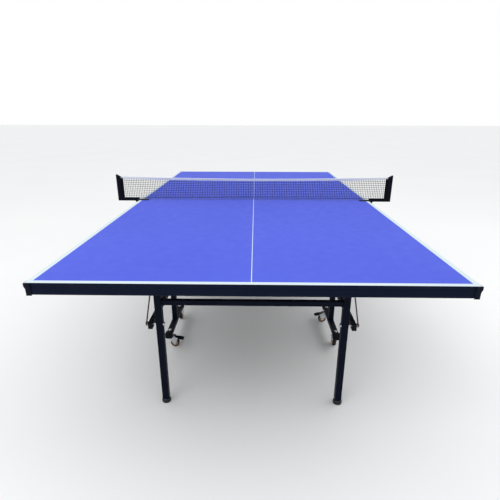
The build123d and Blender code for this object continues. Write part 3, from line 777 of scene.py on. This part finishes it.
def brake_pedal(name):
    """Rocking pedal with a curled toe and raised grip ribs."""
    _, axis, trail, stem = caster_facts(name)
    low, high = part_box("brake_pedal_" + name)
    half_w = min(high.x - low.x, high.y - low.y) / 2
    # Distance behind the stem, and height.
    outline = [
        (0.031, 0.0545), (0.036, 0.0525), (0.041, 0.0515), (0.058, 0.0495), (0.076, 0.0475),
        (0.0788, 0.0495), (0.0780, 0.0535), (0.0755, 0.0560), (0.0620, 0.0588), (0.048, 0.0615),
        (0.040, 0.0618), (0.034, 0.0610), (0.0312, 0.0580),
    ]
    bm = bmesh.new()

    def at(s, t, z):
        spot = Vector((stem.x, stem.y, 0)) + trail * s + axis * t
        return Vector((spot.x, spot.y, z))

    rings = [[at(s, t, z) for s, z in outline] for t in (-half_w, half_w)]
    ring_faces(bm, rings, caps=True, smooth=False)
    soften(bm, bm.edges, PEDAL_BEVEL, 3)
    ribs, rib_start, rib_half = 6, 0.053, half_w - 0.003
    for k in range(ribs):
        s = rib_start + k * RIB_PITCH
        z = 0.0604 - (s - rib_start) * 0.20
        line = [at(s, -rib_half, z), at(s, 0, z), at(s, rib_half, z)]
        sweep(bm, line, RIB_R, sides=8)
    replaced = ["brake_pedal_" + name]
    make_piece("pedal_" + name, bm, [BLACK], "pedal_" + name, replaced)


# --- welds and screws ---

def weld_ring(bm, centre, half_y, half_z, upright=False):
    """Rippled bead round the end of a tube. It lies across X, or across Z if upright."""
    corner = 0.002
    points = []
    for sy, sz, start in ((1, 1, 0), (-1, 1, 90), (-1, -1, 180), (1, -1, 270)):
        for d in (0, 45, 90):
            a = math.radians(start + d)
            points.append((sy * (half_y - corner) + corner * math.cos(a),
                           sz * (half_z - corner) + corner * math.sin(a)))
    path = []
    for (y0, z0), (y1, z1) in zip(points, points[1:] + points[:1]):
        steps = max(1, round(math.hypot(y1 - y0, z1 - z0) / (WELD_RIPPLE / 3)))
        path += [(y0 + (y1 - y0) * k / steps, z0 + (z1 - z0) * k / steps) for k in range(steps)]
    if upright:
        line = [centre + Vector((y, z, 0)) for y, z in path]
    else:
        line = [centre + Vector((0, y, z)) for y, z in path]

    def bead(k):
        return WELD_R * (1 + 0.16 * math.cos(2 * math.pi * k / 3))

    sweep(bm, line, bead, sides=6, looped=True)


def welds(half):
    """Beads where the crossbars meet legs and posts, and where the posts stand on their rails."""
    leg_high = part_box("leg_frame_" + half)[1]
    cap_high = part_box("rail_caps_" + half)[1]
    joints = {joint["name"]: joint for joint in frame["joints"]}
    leg_y = joints["leg_fold_" + half]["pos_m"][1]
    post_y = joints["top_tilt_" + half]["pos_m"][1]
    leg_in, post_x = leg_high.x - TUBE, cap_high.x - CAP_W / 2
    depth = CROSS_DEPTH / 2
    bm = bmesh.new()
    for side in (-1, 1):
        spot = Vector((side * leg_in, leg_y, LEG_CROSS_Z + LEG_CROSS_H / 2))
        weld_ring(bm, spot, depth, LEG_CROSS_H / 2)
    make_piece("leg_welds_" + half, bm, [FRAME], "legs_" + half)
    bm = bmesh.new()
    for side in (-1, 1):
        post_in = side * (post_x - TUBE / 2)
        spot = Vector((post_in, post_y, TROLLEY_CROSS_Z + TROLLEY_CROSS_H / 2))
        weld_ring(bm, spot, depth, TROLLEY_CROSS_H / 2)
        weld_ring(bm, Vector((side * post_x, post_y, RAIL_TOP_Z)), TUBE / 2, TUBE / 2, upright=True)
    make_piece("trolley_welds_" + half, bm, [FRAME], "trolley_" + half)


def pan_screw(bm, spot):
    """Pan head facing down, with a black cross of painted shade where its recess is."""
    profile = [
        (0, 0), (SCREW_R, 0), (SCREW_R, -0.0006), (SCREW_R * 0.86, -SCREW_DOME * 0.72),
        (SCREW_R * 0.55, -SCREW_DOME), (SCREW_R * 0.16, -SCREW_DOME), (0, -SCREW_DOME * 0.35),
    ]
    shade_cross_low = Vector((-SCREW_R / 2, -0.00045, -SCREW_DOME - 0.0001))
    shade_cross_high = Vector((SCREW_R / 2, 0.00045, -0.001))
    lathe(bm, spot, (0, 0, 1), profile, 20)
    # Each bar of the cross is a black box sunk into the zinc dome: painted shade for the recess, which is really
    # zinc.
    for turn in (0, 90):
        spin = Matrix.Rotation(math.radians(turn + 20), 4, "Z")
        made = slab(bm, shade_cross_low, shade_cross_high, 1)
        bmesh.ops.transform(bm, matrix=Matrix.Translation(spot) @ spin, verts=made)


def bracket_screws(half):
    """Screws that hold the hinge brackets up to the board."""
    joints = {joint["name"]: joint for joint in frame["joints"]}
    leg_y = joints["leg_fold_" + half]["pos_m"][1]
    post_y = joints["top_tilt_" + half]["pos_m"][1]
    board_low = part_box("board_" + half)[0]
    leg_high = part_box("leg_frame_" + half)[1]
    cap_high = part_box("rail_caps_" + half)[1]
    leg_x, post_x = leg_high.x - TUBE / 2, cap_high.x - CAP_W / 2
    bm = bmesh.new()
    for x, y in ((leg_x, leg_y), (post_x, post_y)):
        for side in (-1, 1):
            for dx in (-SCREW_DX, SCREW_DX):
                for dy in (-SCREW_DY, SCREW_DY):
                    pan_screw(bm, Vector((side * x + dx, y + dy, board_low.z - BRACKET_T)))
    # The black slot here is painted shade in the screw recesses, not a black part.
    make_piece("bracket_screws_" + half, bm, [ZINC, BLACK], "top_" + half)


# --- studio ---

def build_stage():
    """Pale floor, white surroundings and soft lamps."""
    scene = bpy.context.scene
    bpy.ops.mesh.primitive_plane_add(size=FLOOR_SIZE)
    floor = bpy.context.object
    floor.name = "floor"
    floor.data.materials.append(pale_floor("studio_floor"))
    world = bpy.data.worlds.new("white_studio")
    world.use_nodes = True
    background = world.node_tree.nodes["Background"]
    background.inputs["Color"].default_value = (1.0, 1.0, 1.0, 1.0)
    background.inputs["Strength"].default_value = 1.0
    scene.world = world
    scene.view_settings.view_transform = "Standard"
    for name, (place, size, watts) in LAMPS.items():
        lamp = bpy.data.lights.new(name, "AREA")
        lamp.shape = "DISK"
        lamp.size = size
        lamp.energy = watts
        holder = bpy.data.objects.new(name, lamp)
        holder.location = place
        aim = Vector(LAMP_AIM) - Vector(place)
        holder.rotation_euler = aim.to_track_quat("-Z", "Y").to_euler()
        scene.collection.objects.link(holder)


def build_camera():
    """Camera at standing height in front of the near end, looking down along the table."""
    yaw, pitch, roll = (math.radians(d) for d in (CAMERA_YAW, CAMERA_PITCH, CAMERA_ROLL))
    ahead = Vector((math.sin(yaw), math.cos(yaw), 0))
    forward = ahead * math.cos(pitch) - Vector((0, 0, math.sin(pitch)))
    level = Vector((math.cos(yaw), -math.sin(yaw), 0))
    upright = level.cross(forward)
    right = level * math.cos(roll) + upright * math.sin(roll)
    up = upright * math.cos(roll) - level * math.sin(roll)
    data = bpy.data.cameras.new("camera")
    data.lens = CAMERA_LENS
    data.sensor_width = CAMERA_SENSOR
    data.clip_start = 0.05
    camera = bpy.data.objects.new("camera", data)
    turn = Matrix((right, up, -forward)).transposed()
    camera.matrix_world = Matrix.Translation(CAMERA_PLACE) @ turn.to_4x4()
    bpy.context.scene.collection.objects.link(camera)
    bpy.context.scene.camera = camera


build_camera()
build_stage()
finish_cad_nodes()
build_net()
for half_name, half_turn in HALVES:
    table_top(half_name, half_turn)
    corner_guards(half_name, half_turn)
    welds(half_name)
    bracket_screws(half_name)
    for caster in CASTERS:
        full_name = caster + "_" + half_name
        caster_wheel(full_name)
        swivel_race(full_name)
        if caster in BRAKED:
            brake_pedal(full_name)
    for side_name in ("left", "right"):
        lock_pin(side_name, half_name)
for side_name in ("left", "right"):
    clamp_screw(side_name)
